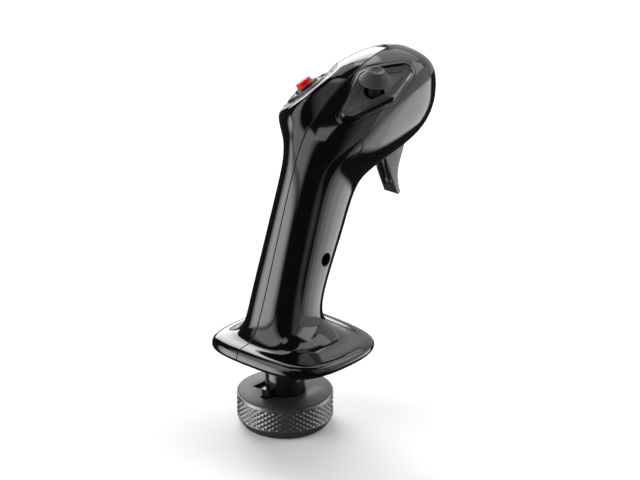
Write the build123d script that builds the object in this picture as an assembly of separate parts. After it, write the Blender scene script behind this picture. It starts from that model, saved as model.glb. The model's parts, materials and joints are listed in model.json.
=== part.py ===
from build123d import *
import math
import os

# Detachable grip of a flight joystick, in millimetres.
# +X is forward (the trigger's side), +Y is left, +Z is up along the coupling's axis.
# The origin is the centre of the coupling nut's lower face.

# ---------------------------------------------------------------- driving sizes

WALL = 2.6                  # thickness of the two half shells, measured across the grip
SPAN_STEPS = 5              # surface points per span of the shells' control net
RING_STEPS = 24             # surface points round one half section

# Half sections of the grip: (a, b) with a from the rear edge to the front edge and b in half widths.
SECTIONS = {
    "plate": ((0, 0), (0, .60), (.08, .94), (.5, 1.0), (.92, .94), (1, .60), (1, 0)),
    "oval": ((0, 0), (0, .50), (.11, .95), (.5, 1.04), (.89, .95), (1, .50), (1, 0)),
    "roof": ((0, 0), (.04, .40), (.20, 1.06), (.50, 1.04), (.78, 1.00), (1, .70), (1, 0)),
    "crown": ((0, 0), (0, .45), (.09, 1.06), (.45, 1.10), (.78, 1.00), (1, .70), (1, 0)),
    "ramp": ((0, 0), (-.05, .25), (-.02, .75), (.35, 1.10), (.70, .92), (1, .55), (1, 0)),
    "pod": ((0, 0), (-.17, .10), (-.13, .42), (.26, 1.12), (.62, .86), (1, .55), (1, 0)),
    "nose": ((0, 0), (.02, .55), (.14, 1.04), (.50, 1.06), (.80, 1.02), (1, .66), (1, 0)),
}

# Control sections from the neck, out round the hand rest, up the column and along the head:
# rear x, rear z, front x, front z, right half width, right section, left half width, left section.
GRIP = (
    (-9.4, 36.6, 9.4, 36.6, 9.4, "oval", 9.4, "oval"),
    (-19.0, 37.8, 19.0, 37.8, 23.0, "plate", 18.0, "plate"),
    (-28.0, 39.4, 26.8, 39.4, 37.2, "plate", 24.5, "plate"),
    (-31.9, 40.6, 30.2, 40.8, 42.5, "plate", 27.0, "plate"),
    (-31.9, 44.8, 30.4, 44.6, 42.7, "plate", 27.2, "plate"),
    (-29.4, 47.4, 28.2, 46.4, 39.7, "plate", 25.0, "plate"),
    (-24.0, 47.2, 22.6, 45.6, 30.0, "plate", 21.0, "plate"),
    (-20.2, 50.2, 23.5, 46.8, 24.0, "oval", 16.0, "oval"),
    (-17.2, 56.0, 16.6, 50.6, 17.0, "oval", 14.6, "oval"),
    (-13.4, 66.4, 15.4, 58.0, 14.9, "oval", 14.7, "oval"),
    (-7.8, 83.0, 22.2, 73.0, 14.2, "oval", 14.2, "oval"),
    (-2.2, 100.0, 31.0, 89.0, 13.9, "oval", 13.9, "oval"),
    (3.6, 116.8, 37.4, 103.4, 13.6, "oval", 13.6, "oval"),
    (8.6, 130.2, 41.4, 110.5, 14.3, "oval", 14.3, "oval"),
    (14.0, 141.4, 45.0, 114.6, 16.5, "roof", 23.0, "ramp"),
    (25.6, 149.4, 51.0, 117.6, 18.5, "roof", 28.0, "pod"),
    (40.0, 159.0, 58.0, 119.5, 19.5, "roof", 28.0, "pod"),
    (58.0, 167.5, 69.0, 122.0, 19.5, "roof", 22.0, "crown"),
    (75.0, 171.0, 81.0, 126.0, 18.5, "nose", 19.0, "nose"),
    (89.0, 167.0, 91.0, 135.0, 15.5, "nose", 16.0, "nose"),
    (95.0, 157.0, 95.0, 147.0, 8.5, "nose", 8.5, "nose"),
    (95.6, 152.2, 95.6, 152.0, 0.5, "nose", 0.5, "nose"),
)
FIRST_HOLLOW_SECTION = 8    # the cavity runs from this control section to the nose
NOSE_SECTION = 19           # from here on the cavity also stays a wall back from the nose

# Hand rest's underside
POCKET_TOP_Z = 43.0
COVER_TOP_Z = 41.4
COVER_SCREW_SPOTS = ((-19.0, 12.0), (-19.0, -22.0), (17.0, 12.0), (17.0, -24.0))

# Neck and coupling
NECK_R = 9.4
NECK_BORE_R = 7.0
NECK_BOTTOM_Z = 9.6
NECK_TOP_Z = 50.0
COLLAR_R = 13.0
COLLAR_HEIGHT = 1.3
NECK_FLANGE_R = 11.0
NECK_FLANGE_Z = 44.2
KEY_REAR_X = -13.5
KEY_TOP_Z = 20.4
KEY_WIDTH = 4.0
NUT_R = 23.0
NUT_FOOT_R = 20.5
NUT_TOP_Z = 16.0
THREAD_R = 17.0
THREAD_LENGTH = 9.0
RIM_BORE_R = 22.4
PLATE_R = 22.25
PLATE_TOP_Z = 16.3
PLATE_BOTTOM_Z = 14.3
HUB_R = 16.8
HUB_BOTTOM_Z = 11.1

# Stick panel on the right of the head
PANEL_FRAME = Plane(
    origin=(49.16, -13.18, 157.67), x_dir=(0.952, -0.05, 0.303), z_dir=(-0.29, -0.47, 0.833)
)
PANEL_OUTLINE = ((-32.8, -2.4), (2.2, -8.1), (26.4, -2.0), (1.2, 11.8))
PANEL_CORNER_R = (3.4, 6.0, 2.9, 6.0)
PANEL_RIM = 2.0
PANEL_FLOOR_DEPTH = 1.2

# Mini stick
STICK_AXIS = (-0.107, -0.228, 0.967)
STICK_UV = (-1.35, 1.1)
CAP_GAP = 4.2               # cap's skirt centre above the panel's top plane
PIVOT_DEPTH = 11.4          # gimbal centre below the skirt
CAP_BASE_R = 7.75
CAP_TOP_R = 3.7
CAP_HEIGHT = 6.0

# Button on the left of the head
BUTTON_FRAME = Plane(origin=(35.4, 18.0, 153.5), x_dir=(0.936, 0.0, 0.352), z_dir=(-0.302, 0.515, 0.802))
BEZEL_R = 14.3
BUTTON_CAP_R = 4.0

# Trigger
TRIGGER_PIVOT = (73.5, 130.0)
TRIGGER_PIN_R = 1.5
TRIGGER_HALF_WIDTH = 4.4

# Screws across the two shells: x, z, outer counterbore radius
SHELL_SCREWS = ((13.5, 82.4, 3.35), (28.8, 134.2, 4.7))
SCREW_HEAD_Y = -5.9
SCREW_HEAD_R = 2.8
SCREW_SHANK_R = 1.45

# Board in the column
BOARD_CENTRE = (20.0, 109.0)
COLUMN_LEAN = math.radians(22.8)
BOARD_LENGTH = 34.0
BOARD_WIDTH = 19.0
BOARD_Y = 4.0
BOARD_THICKNESS = 1.6

os.makedirs("parts", exist_ok=True)


# ---------------------------------------------------------------- small helpers

def save(shape, name):
    export_step(shape, f"parts/{name}.step")


def cylinder_z(radius, low, high, x=0.0, y=0.0):
    return Pos(x, y, low) * Cylinder(radius, high - low, align=(Align.CENTER, Align.CENTER, Align.MIN))


def cylinder_y(radius, low, high, x=0.0, z=0.0):
    rod = Cylinder(radius, high - low, align=(Align.CENTER, Align.CENTER, Align.MIN))
    return Pos(x, low, z) * Rot(-90, 0, 0) * rod


def cylinder_x(radius, low, high, y=0.0, z=0.0):
    rod = Cylinder(radius, high - low, align=(Align.CENTER, Align.CENTER, Align.MIN))
    return Pos(low, y, z) * Rot(0, 90, 0) * rod


def block(low, high):
    size = [high[i] - low[i] for i in range(3)]
    centre = [(high[i] + low[i]) / 2 for i in range(3)]
    return Pos(*centre) * Box(*size)


def tube_z(outer, inner, low, high):
    return cylinder_z(outer, low, high) - cylinder_z(inner, low - 1, high + 1)


def turned(points):
    """Revolve a closed outline of (radius, z) points about Z."""
    outline = Polyline(*[(r, 0, z) for r, z in points], close=True)
    return revolve(make_face(outline), Axis.Z)


def basis(count, u):
    """Weights of `count` control points of a clamped uniform cubic B-spline at u from 0 to 1."""
    if u >= 1.0:
        return [0.0] * (count - 1) + [1.0]
    spans = count - 3
    knots = [0.0] * 3 + [i / spans for i in range(spans + 1)] + [1.0] * 3
    weights = [1.0 if knots[i] <= u < knots[i + 1] else 0.0 for i in range(len(knots) - 1)]
    for degree in (1, 2, 3):
        raised = []
        for i in range(len(weights) - 1):
            rise = knots[i + degree] - knots[i]
            fall = knots[i + degree + 1] - knots[i + 1]
            left = (u - knots[i]) / rise * weights[i] if rise > 0 else 0.0
            right = (knots[i + degree + 1] - u) / fall * weights[i + 1] if fall > 0 else 0.0
            raised.append(left + right)
        weights = raised
    return weights


def control_net(sections, side):
    """Control points of one half of the grip: side is -1 for the right half and +1 for the left."""
    net = []
    for rear_x, rear_z, front_x, front_z, right_w, right_s, left_w, left_s in sections:
        width, style = (right_w, right_s) if side < 0 else (left_w, left_s)
        row = []
        for a, b in SECTIONS[style]:
            row.append((rear_x + (front_x - rear_x) * a, side * width * b, rear_z + (front_z - rear_z) * a))
        net.append(row)
    return net


def skin_points(sections, side):
    net = control_net(sections, side)
    rows = (len(net) - 3) * SPAN_STEPS
    along = [basis(len(net), i / rows) for i in range(rows + 1)]
    across = [basis(len(net[0]), j / RING_STEPS) for j in range(RING_STEPS + 1)]
    grid = []
    for row_weights in along:
        mixed = [[sum(w * net[i][j][k] for i, w in enumerate(row_weights) if w) for k in range(3)]
                 for j in range(len(net[0]))]
        grid.append([Vector(*[sum(w * mixed[j][k] for j, w in enumerate(weights) if w) for k in range(3)])
                     for weights in across])
    return grid


def half_solid(sections, side):
    """Closed solid of one half of the grip, cut flat at Y = 0."""
    skin = Face.make_surface_from_array_of_points(skin_points(sections, side), tol=0.005)
    middle = [e for e in skin.edges()
              if abs(e.position_at(0.3).Y) < 1e-4 and abs(e.position_at(0.6).Y) < 1e-4]
    rings = [e for e in skin.edges() if e not in middle]
    closing = [Edge.make_line(e.position_at(0), e.position_at(1)) for e in rings]
    faces = [skin, Face(Wire(middle + closing))]
    faces += [Face(Wire([ring, line])) for ring, line in zip(rings, closing)]
    return Solid(Shell(faces))


def shrunk(sections, wall):
    """The same sections drawn in by a wall, for the cavity inside."""
    inner = []
    for i, (rx, rz, fx, fz, rw, rs, lw, ls) in enumerate(sections):
        length = math.hypot(fx - rx, fz - rz)
        ux, uz = (fx - rx) / length, (fz - rz) / length
        step = min(wall, length / 2 - 0.05)
        back = wall if i >= NOSE_SECTION else 0.0
        inner.append((rx + ux * step - back, rz + uz * step, fx - ux * step - back, fz - uz * step,
                      max(rw - wall, 0.4), rs, max(lw - wall, 0.4), ls))
    return inner


def cavity_solid(wall, side):
    inner = shrunk(GRIP, wall)
    start = inner[FIRST_HOLLOW_SECTION]
    foot = (start[0] - 1.0, COVER_TOP_Z - 1.0, start[2] + 1.0, COVER_TOP_Z - 1.0) + start[4:]
    return half_solid([foot] + inner[FIRST_HOLLOW_SECTION:], side)


def rest_prism(margin, low, high):
    """Upright prism with the hand rest's outline drawn in by a margin."""
    rx, _, fx, _, rw, _, lw, _ = GRIP[4]
    points = []
    for side, width in ((-1, rw), (1, lw)):
        row = [(rx + margin + (fx - rx - 2 * margin) * a, side * (width - margin) * b)
               for a, b in SECTIONS["plate"]]
        weights = [basis(len(row), j / RING_STEPS) for j in range(RING_STEPS + 1)]
        curve = [tuple(sum(w * row[j][k] for j, w in enumerate(ws)) for k in range(2)) for ws in weights]
        points.append(curve)
    right, left = points
    outline = Spline(*[(x, y, low) for x, y in right]) + Spline(*[(x, y, low) for x, y in left])
    return extrude(make_face(outline), amount=high - low, dir=(0, 0, 1))


# ---------------------------------------------------------------- shells

def panel_face(grow, height=0.0):
    """The stick panel's outline, grown outwards, as a face in the panel's own frame."""
    sketch = make_face(Polyline(*PANEL_OUTLINE, close=True))
    for (u, v), radius in zip(PANEL_OUTLINE, PANEL_CORNER_R):
        corner = min(sketch.vertices(), key=lambda p: (p.X - u) ** 2 + (p.Y - v) ** 2)
        sketch = fillet(corner, radius)
    grown = offset(sketch, amount=grow) if grow else sketch
    return Pos(0, 0, height) * grown


def panel_prism(grow, low, high):
    return PANEL_FRAME * extrude(panel_face(grow, low), amount=high - low)


def trigger_slot():
    return block((61.6, -5.3, 112.0), (83.2, 5.3, 131.0))


def screw_tunnels():
    cuts = []
    for x, z, outer_r in SHELL_SCREWS:
        cuts.append(cylinder_y(3.35, -30.0, SCREW_HEAD_Y, x, z))
        cuts.append(cylinder_y(1.6, -8.0, 0.5, x, z))
    cuts.append(cylinder_y(SHELL_SCREWS[1][2], -30.0, -14.2, SHELL_SCREWS[1][0], SHELL_SCREWS[1][1]))
    return cuts


def bosses(side):
    """Screw bosses from a shell's wall to the middle."""
    reach = (-14.0, -0.1) if side < 0 else (0.1, 15.0)
    radius = 4.6 if side < 0 else 4.0
    return [cylinder_y(radius, reach[0], reach[1], x, z) for x, z, _ in SHELL_SCREWS]


def board_point(along, across):
    """Point of the column's board plane: along the column and across it, from the board's centre."""
    x = BOARD_CENTRE[0] + along * math.sin(COLUMN_LEAN) + across * math.cos(COLUMN_LEAN)
    z = BOARD_CENTRE[1] + along * math.cos(COLUMN_LEAN) - across * math.sin(COLUMN_LEAN)
    return x, z


BOARD_POSTS = [board_point(-13.0, 0.0), board_point(13.0, 0.0)]


def cover_screw_holes(radius, low, high):
    return [cylinder_z(radius, low, high, x, y) for x, y in COVER_SCREW_SPOTS]


def half_shell(side, outer, cavity):
    pocket = rest_prism(4.0, 30.0, POCKET_TOP_Z)
    for pillar in cover_screw_holes(3.4, COVER_TOP_Z, 50.0):
        pocket -= pillar
    shell = outer - cavity - pocket
    for boss in bosses(side):
        shell += boss & outer
    if side > 0:
        for x, z in BOARD_POSTS:
            shell += cylinder_y(2.6, BOARD_Y + BOARD_THICKNESS, 14.0, x, z) & outer
            shell -= cylinder_y(0.95, 0.0, 11.0, x, z)
        for x, z, _ in SHELL_SCREWS:
            shell -= cylinder_y(2.45, 0.0, 7.2, x, z)
        shell -= BUTTON_FRAME * cylinder_z(BEZEL_R + 0.2, -2.6, 20.0)
        shell -= BUTTON_FRAME * cylinder_z(9.2, -8.0, 1.0)
    else:
        for cut in screw_tunnels():
            shell -= cut
        shell -= panel_prism(PANEL_RIM + 0.2, -9.0, 6.0)
        shell -= STICK_FRAME * block((-6.3, -5.9, -6.0), (6.3, 5.9, 2.3))
    for hole in cover_screw_holes(1.35, 40.0, 45.6):
        shell -= hole
    shell -= cylinder_z(NECK_R + 0.05, 30.0, NECK_TOP_Z - 6.0)
    shell -= cylinder_z(NECK_FLANGE_R + 0.1, NECK_FLANGE_Z - 0.1, NECK_TOP_Z)
    shell -= trigger_slot()
    return largest(shell)


def largest(shape):
    return max(shape.solids(), key=lambda s: s.volume)


def base_cover(body):
    cover = body & rest_prism(4.1, 30.0, COVER_TOP_Z)
    cover -= cylinder_z(NECK_R + 0.1, 30.0, 50.0)
    for hole in cover_screw_holes(1.5, 30.0, 45.0) + cover_screw_holes(2.75, 30.0, 40.6):
        cover -= hole
    return largest(cover)


def cover_screws():
    screws = []
    for x, y in COVER_SCREW_SPOTS:
        head = cylinder_z(2.6, 39.3, 40.6, x, y) - cylinder_z(0.9, 39.0, 40.0, x, y)
        screws.append(head + cylinder_z(1.25, 40.6, 45.4, x, y))
    return Compound(children=[s.solid() for s in screws])


# ---------------------------------------------------------------- neck and coupling

def neck_tube():
    tube = tube_z(NECK_R, NECK_BORE_R, NECK_BOTTOM_Z, NECK_TOP_Z)
    tube += tube_z(COLLAR_R, NECK_BORE_R, NECK_BOTTOM_Z, NECK_BOTTOM_Z + COLLAR_HEIGHT)
    key = block((KEY_REAR_X, -KEY_WIDTH / 2 + 0.1, NECK_BOTTOM_Z), (-8.4, KEY_WIDTH / 2 + 0.1, KEY_TOP_Z))
    tube += key
    tube += tube_z(NECK_FLANGE_R, NECK_BORE_R, NECK_FLANGE_Z, 46.4)
    tube -= cylinder_z(NECK_BORE_R, 5.0, 60.0)
    return tube


def neck_clamp():
    """Split ring that grips the neck between the shells."""
    ring = tube_z(NECK_FLANGE_R, NECK_R + 0.03, 46.6, 49.6)
    return ring - block((-12.0, -0.8, 46.0), (-6.0, 0.8, 50.0))


def coupling_nut():
    outline = (
        (THREAD_R, 0.0), (NUT_FOOT_R, 0.0), (NUT_R - 0.5, 3.6), (NUT_R, 4.6),
        (NUT_R, 5.4), (NUT_R - 0.35, 5.7), (NUT_R - 0.35, 14.2), (NUT_R, 14.5), (NUT_R, NUT_TOP_Z - 0.3),
        (NUT_R - 0.3, NUT_TOP_Z), (RIM_BORE_R, NUT_TOP_Z), (RIM_BORE_R, 13.9), (HUB_R + 0.4, 13.9),
        (HUB_R + 0.4, 12.9), (19.5, 12.9), (19.5, THREAD_LENGTH), (THREAD_R, THREAD_LENGTH),
    )
    return turned(outline)


def key_plate():
    plate = turned((
        (NECK_R + 0.35, PLATE_TOP_Z), (PLATE_R - 0.25, PLATE_TOP_Z), (PLATE_R, PLATE_TOP_Z - 0.25),
        (PLATE_R, PLATE_BOTTOM_Z), (HUB_R, PLATE_BOTTOM_Z), (HUB_R, 12.8), (HUB_R - 0.8, 12.8),
        (HUB_R - 0.8, 11.5), (HUB_R, 11.5), (HUB_R, HUB_BOTTOM_Z), (NECK_R + 0.35, HUB_BOTTOM_Z),
    ))
    plate -= block((-15.0, -2.2, 5.0), (-8.0, 2.4, 20.0))
    plate -= block((-8.8, 8.0, 14.6), (-0.7, 12.8, 20.0))
    return plate


def retaining_ring():
    ring = tube_z(HUB_R + 1.8, HUB_R - 0.75, 11.6, 12.7)
    return ring - block((0.0, -2.5, 11.0), (25.0, 2.5, 13.0))


def thrust_washer():
    return tube_z(21.8, HUB_R + 0.3, 13.95, 14.25)


PIN_SPOTS = [(4.0 * math.cos(math.radians(72 * i)), 4.0 * math.sin(math.radians(72 * i))) for i in range(5)]


def connector_body():
    body = cylinder_z(NECK_BORE_R - 0.05, 12.4, 24.0) - cylinder_z(2.0, 21.0, 25.0)
    for x, y in PIN_SPOTS:
        body -= cylinder_z(0.62, 10.0, 20.0, x, y)
    return body


def connector_pins():
    pins = [cylinder_z(0.6, 9.9, 19.6, x, y) for x, y in PIN_SPOTS]
    return Compound(children=[p.solid() for p in pins])


# ---------------------------------------------------------------- stick panel and mini stick

def stick_panel(right_outer):
    rim = right_outer & panel_prism(PANEL_RIM, -4.6, 3.0)
    platform = PANEL_FRAME * extrude(panel_face(0.6, -4.6), amount=4.6, taper=6)
    panel = rim + platform
    panel -= panel_prism(-1.4, -12.0, -PANEL_FLOOR_DEPTH - 1.8)
    panel -= panel_prism(-3.4, -PANEL_FLOOR_DEPTH, 6.0)
    for inset in (-1.1, -2.1):
        groove = panel_prism(inset, -0.35, 6.0) - panel_prism(inset - 0.5, -2.0, 8.0)
        panel -= groove
    panel -= STICK_FRAME * cylinder_z(4.6, -6.0, 13.0)
    panel -= STICK_FRAME * block((-6.3, -5.9, -9.0), (6.3, 5.9, 2.3))
    return largest(panel)


def stick_frame():
    u, v = STICK_UV
    skirt = PANEL_FRAME.origin + PANEL_FRAME.x_dir * u + PANEL_FRAME.y_dir * v + PANEL_FRAME.z_dir * CAP_GAP
    axis = Vector(*STICK_AXIS).normalized()
    return Plane(origin=skirt - axis * PIVOT_DEPTH, x_dir=(0.994, 0.0, 0.11), z_dir=axis)


STICK_FRAME = stick_frame()


def mini_stick_shaft():
    shaft = cylinder_z(1.8, 0.0, PIVOT_DEPTH + 3.2)
    shaft += cylinder_z(3.0, PIVOT_DEPTH - 7.4, PIVOT_DEPTH - 1.1)
    shaft += Sphere(2.3)
    shaft += cylinder_y(0.8, -4.0, 4.0)
    return STICK_FRAME * shaft


def mini_stick_yoke():
    ring = tube_z(4.2, 2.75, -1.4, 1.4)
    ring -= cylinder_y(0.85, -6.0, 6.0)
    ring += cylinder_x(0.9, 3.6, 5.8) + cylinder_x(0.9, -5.8, -3.6)
    return STICK_FRAME * ring


def mini_stick_housing():
    outer = block((-6.0, -5.6, -5.6), (6.0, 5.6, 1.9))
    outer -= block((-4.9, -4.6, -4.4), (4.9, 4.6, 5.0))
    outer -= cylinder_x(0.95, -8.0, 8.0)
    return STICK_FRAME * outer


def mini_stick_cap():
    low, high = PIVOT_DEPTH, PIVOT_DEPTH + CAP_HEIGHT
    cap = turned((
        (0, low + 1.0), (CAP_BASE_R - 1.6, low + 1.0), (CAP_BASE_R - 0.9, low), (CAP_BASE_R, low),
        (CAP_BASE_R, low + 0.7), (CAP_TOP_R + 0.3, high - 0.25), (CAP_TOP_R - 0.2, high),
        (CAP_TOP_R - 0.9, high - 0.15), (0, high - 1.3),
    ))
    cap += cylinder_z(3.0, low - 0.4, low + 1.5)
    cap -= cylinder_z(1.85, low - 2.0, low + 3.9)
    return STICK_FRAME * cap


def mini_stick_board():
    return STICK_FRAME * block((-6.6, -5.2, -7.0), (6.6, 5.2, -5.7))


# ---------------------------------------------------------------- button

def button_bezel():
    bezel = turned((
        (6.05, -2.4), (BEZEL_R, -2.4), (BEZEL_R, -0.35), (BEZEL_R - 0.35, 0.0), (11.7, 0.15),
        (11.2, 1.0), (10.75, 1.0), (10.5, -0.9), (8.3, -0.9), (8.1, 0.9), (6.05, 0.9),
    ))
    for turn in range(4):
        bridge = Rot(0, 0, 45 + 90 * turn) * block((8.0, -1.1, -1.0), (10.8, 1.1, 0.7))
        bezel += bridge
    return BUTTON_FRAME * bezel


def button_collar():
    collar = turned((
        (BUTTON_CAP_R + 0.25, -4.0), (8.4, -4.0), (8.4, -2.5), (5.95, -2.5), (5.95, 2.2),
        (5.6, 2.5), (BUTTON_CAP_R + 0.25, 2.5),
    ))
    return BUTTON_FRAME * collar


def red_button_cap():
    cap = turned((
        (0, -1.0), (BUTTON_CAP_R, -1.0), (BUTTON_CAP_R, 4.2), (BUTTON_CAP_R - 0.5, 4.7), (0, 4.9),
    ))
    return BUTTON_FRAME * (cap + cylinder_z(1.6, -3.2, 0.0))


def button_plunger():
    return BUTTON_FRAME * cylinder_z(1.6, -5.9, -3.2)


def button_switch():
    body = block((-3.1, -3.1, -7.6), (3.1, 3.1, -4.6))
    return BUTTON_FRAME * (body - cylinder_z(1.7, -7.3, -4.0))


def button_board():
    return BUTTON_FRAME * block((-6.5, -5.0, -8.9), (6.5, 5.0, -7.7))


# ---------------------------------------------------------------- trigger group

def upright(face, half_width):
    """Extrude a face drawn in X and Z to both sides of Y = 0."""
    return extrude(Rot(90, 0, 0) * face, amount=half_width, both=True)


def trigger():
    px, pz = TRIGGER_PIVOT
    front = Spline((80.2, 124.5), (78.2, 117.4), (75.1, 109.0), (75.2, 101.8), (76.6, 97.4))
    tip = Spline((76.6, 97.4), (76.3, 96.1), (75.0, 95.8))
    rear = Spline((75.0, 95.8), (71.6, 103.2), (68.8, 110.0), (67.2, 118.0), (66.8, 124.0))
    top = Polyline((66.8, 124.0), (68.4, 128.6), (78.0, 130.0), (80.2, 124.5))
    blade = upright(make_face(front + tip + rear + top), TRIGGER_HALF_WIDTH)
    inner_front = Spline((76.0, 119.0), (73.4, 109.4), (73.5, 102.4), (74.0, 100.2))
    inner_rear = Polyline((74.0, 100.2), (60.0, 100.2), (60.0, 119.0), (76.0, 119.0))
    channel = upright(make_face(inner_front + inner_rear), TRIGGER_HALF_WIDTH - 1.2)
    rib = upright(make_face(inner_front + inner_rear), 0.6) & blade
    solid = blade - channel + (Pos(0.9, 0, 0) * rib & blade)
    solid += cylinder_y(3.3, -TRIGGER_HALF_WIDTH, TRIGGER_HALF_WIDTH, px, pz)
    solid += block((61.2, -2.6, 129.2), (px, 2.6, 132.2))
    solid -= cylinder_y(TRIGGER_PIN_R + 0.05, -10.0, 10.0, px, pz)
    return largest(solid)


def trigger_pin():
    return cylinder_y(TRIGGER_PIN_R, -7.4, 7.4, *TRIGGER_PIVOT)


def trigger_bracket(core):
    px, pz = TRIGGER_PIVOT
    ears = block((66.0, 4.9, 127.6), (78.6, 6.9, 146.6)) + block((66.0, -6.9, 127.6), (78.6, -4.9, 146.6))
    shelf = block((57.5, -6.9, 144.6), (78.6, 6.9, 146.6)) + block((57.5, -3.0, 142.6), (61.0, 3.0, 145.0))
    bracket = ears + shelf
    bracket -= cylinder_y(TRIGGER_PIN_R + 0.02, -10.0, 10.0, px, pz)
    return largest(bracket & core)


SPRING_X = 66.5
SPRING_LOW = 132.4
SPRING_HIGH = 144.5


def trigger_spring():
    wire_r = 0.3
    path = Helix(pitch=1.9, height=SPRING_HIGH - SPRING_LOW - 2 * wire_r, radius=1.9)
    path = Pos(SPRING_X, 0, SPRING_LOW + wire_r) * path
    start = path @ 0
    section = Plane(origin=start, z_dir=path % 0) * Circle(wire_r)
    return sweep(section, path=path)


def trigger_switch():
    body = block((49.0, -3.0, 136.0), (62.0, 3.0, 142.6))
    button = block((60.0, -1.4, 134.9), (61.4, 1.4, 136.0))
    return body + button


# ---------------------------------------------------------------- electronics and fasteners

def board_plane(y):
    x, z = BOARD_CENTRE
    along = (math.sin(COLUMN_LEAN), 0, math.cos(COLUMN_LEAN))
    return Plane(origin=(x, y, z), x_dir=along, z_dir=(0, 1, 0))


def main_board():
    board = board_plane(BOARD_Y) * extrude(Rectangle(BOARD_LENGTH, BOARD_WIDTH), amount=BOARD_THICKNESS)
    for x, z in BOARD_POSTS:
        board -= cylinder_y(1.2, 0.0, 10.0, x, z)
    return board


def board_chips():
    spots = ((-5.0, 0.0, 7.0, 7.0, 1.2), (5.0, 3.0, 5.0, 4.0, 1.6), (3.5, -5.5, 9.0, 4.0, 3.4))
    chips = []
    for u, v, length, width, height in spots:
        plane = board_plane(BOARD_Y - height)
        chips.append((plane * extrude(Pos(u, v) * Rectangle(length, width), amount=height)).solid())
    return Compound(children=chips)


def board_screws():
    screws = []
    for x, z in BOARD_POSTS:
        head = cylinder_y(1.9, BOARD_Y - 1.3, BOARD_Y, x, z)
        screws.append((head + cylinder_y(0.9, BOARD_Y, 10.6, x, z)).solid())
    return Compound(children=screws)


def shell_screws():
    screws = []
    for x, z, _ in SHELL_SCREWS:
        head = cylinder_y(SCREW_HEAD_R, SCREW_HEAD_Y - 2.4, SCREW_HEAD_Y, x, z)
        head -= cylinder_y(1.3, SCREW_HEAD_Y - 3.0, SCREW_HEAD_Y - 1.0, x, z)
        screws.append((head + cylinder_y(SCREW_SHANK_R, SCREW_HEAD_Y, 6.4, x, z)).solid())
    return Compound(children=screws)


def threaded_inserts():
    inserts = []
    for x, z, _ in SHELL_SCREWS:
        inserts.append((cylinder_y(2.4, 0.6, 7.0, x, z) - cylinder_y(1.5, 0.0, 8.0, x, z)).solid())
    return Compound(children=inserts)


def screw_plug(right_outer):
    x, z, outer_r = SHELL_SCREWS[1]
    plug = cylinder_y(outer_r - 0.15, -30.0, -14.3, x, z) & (Pos(0, 0.35, 0) * right_outer)
    return largest(plug)


def wire_harness():
    route = ((0, 0, 24.1), (0, 0, 40.0), (1.0, 2.0, 54.0), (3.0, 4.4, 68.0), (6.0, 5.0, 80.0),
             (11.0, 4.9, 91.0))
    radii = (20.0, 26.0, 30.0, 30.0)
    path = FilletPolyline(*route, radius=list(radii))
    section = Plane(origin=path @ 0, z_dir=path % 0) * Circle(1.6)
    return sweep(section, path=path)


# ---------------------------------------------------------------- build

def build():
    right_outer = half_solid(GRIP, -1)
    left_outer = half_solid(GRIP, 1)
    right_cavity = cavity_solid(WALL, -1)
    left_cavity = cavity_solid(WALL, 1)
    core = cavity_solid(WALL + 0.3, -1) + cavity_solid(WALL + 0.3, 1)
    body = right_outer + left_outer

    save(half_shell(-1, right_outer, right_cavity), "right_shell")
    save(half_shell(1, left_outer, left_cavity), "left_shell")
    save(base_cover(body), "base_cover")
    save(cover_screws(), "base_cover_screws")
    save(neck_tube(), "neck_tube")
    save(neck_clamp(), "neck_clamp")
    save(coupling_nut(), "coupling_nut")
    save(key_plate(), "key_plate")
    save(retaining_ring(), "retaining_ring")
    save(thrust_washer(), "thrust_washer")
    save(connector_body(), "connector_body")
    save(connector_pins(), "connector_pins")
    save(stick_panel(right_outer), "stick_panel")
    save(mini_stick_shaft(), "mini_stick_shaft")
    save(mini_stick_yoke(), "mini_stick_yoke")
    save(mini_stick_housing(), "mini_stick_housing")
    save(mini_stick_cap(), "mini_stick_cap")
    save(mini_stick_board(), "mini_stick_board")
    save(button_bezel(), "button_bezel")
    save(button_collar(), "button_collar")
    save(red_button_cap(), "red_button_cap")
    save(button_plunger(), "button_plunger")
    save(button_switch(), "button_switch")
    save(button_board(), "button_board")
    save(trigger(), "trigger")
    save(trigger_pin(), "trigger_pin")
    save(trigger_bracket(core), "trigger_bracket")
    save(trigger_spring(), "trigger_spring")
    save(trigger_switch(), "trigger_switch")
    save(main_board(), "main_board")
    save(board_chips(), "board_chips")
    save(board_screws(), "board_screws")
    save(shell_screws(), "shell_screws")
    save(threaded_inserts(), "threaded_inserts")
    save(screw_plug(right_outer), "screw_plug")
    save(wire_harness(), "wire_harness")


build()
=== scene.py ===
"""Flight joystick grip: the visual model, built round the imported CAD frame."""
import json
import math

import bmesh
import bpy
import numpy as np
from mathutils import Matrix, Vector
from mathutils.bvhtree import BVHTree


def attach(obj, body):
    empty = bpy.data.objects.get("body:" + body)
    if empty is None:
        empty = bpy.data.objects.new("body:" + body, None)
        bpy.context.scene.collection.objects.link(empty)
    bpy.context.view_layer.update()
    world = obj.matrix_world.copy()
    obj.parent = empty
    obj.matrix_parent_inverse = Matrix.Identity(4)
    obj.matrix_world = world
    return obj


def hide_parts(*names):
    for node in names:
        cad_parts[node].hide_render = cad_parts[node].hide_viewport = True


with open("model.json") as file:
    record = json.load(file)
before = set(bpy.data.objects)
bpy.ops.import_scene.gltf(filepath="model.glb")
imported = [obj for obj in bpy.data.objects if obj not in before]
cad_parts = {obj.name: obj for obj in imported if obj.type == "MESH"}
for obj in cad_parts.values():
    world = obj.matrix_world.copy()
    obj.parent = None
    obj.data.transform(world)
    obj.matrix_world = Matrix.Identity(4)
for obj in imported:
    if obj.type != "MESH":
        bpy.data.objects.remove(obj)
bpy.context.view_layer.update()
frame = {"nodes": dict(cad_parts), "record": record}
MM = 0.001

# ---------------------------------------------------------------- driving sizes, in millimetres

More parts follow.
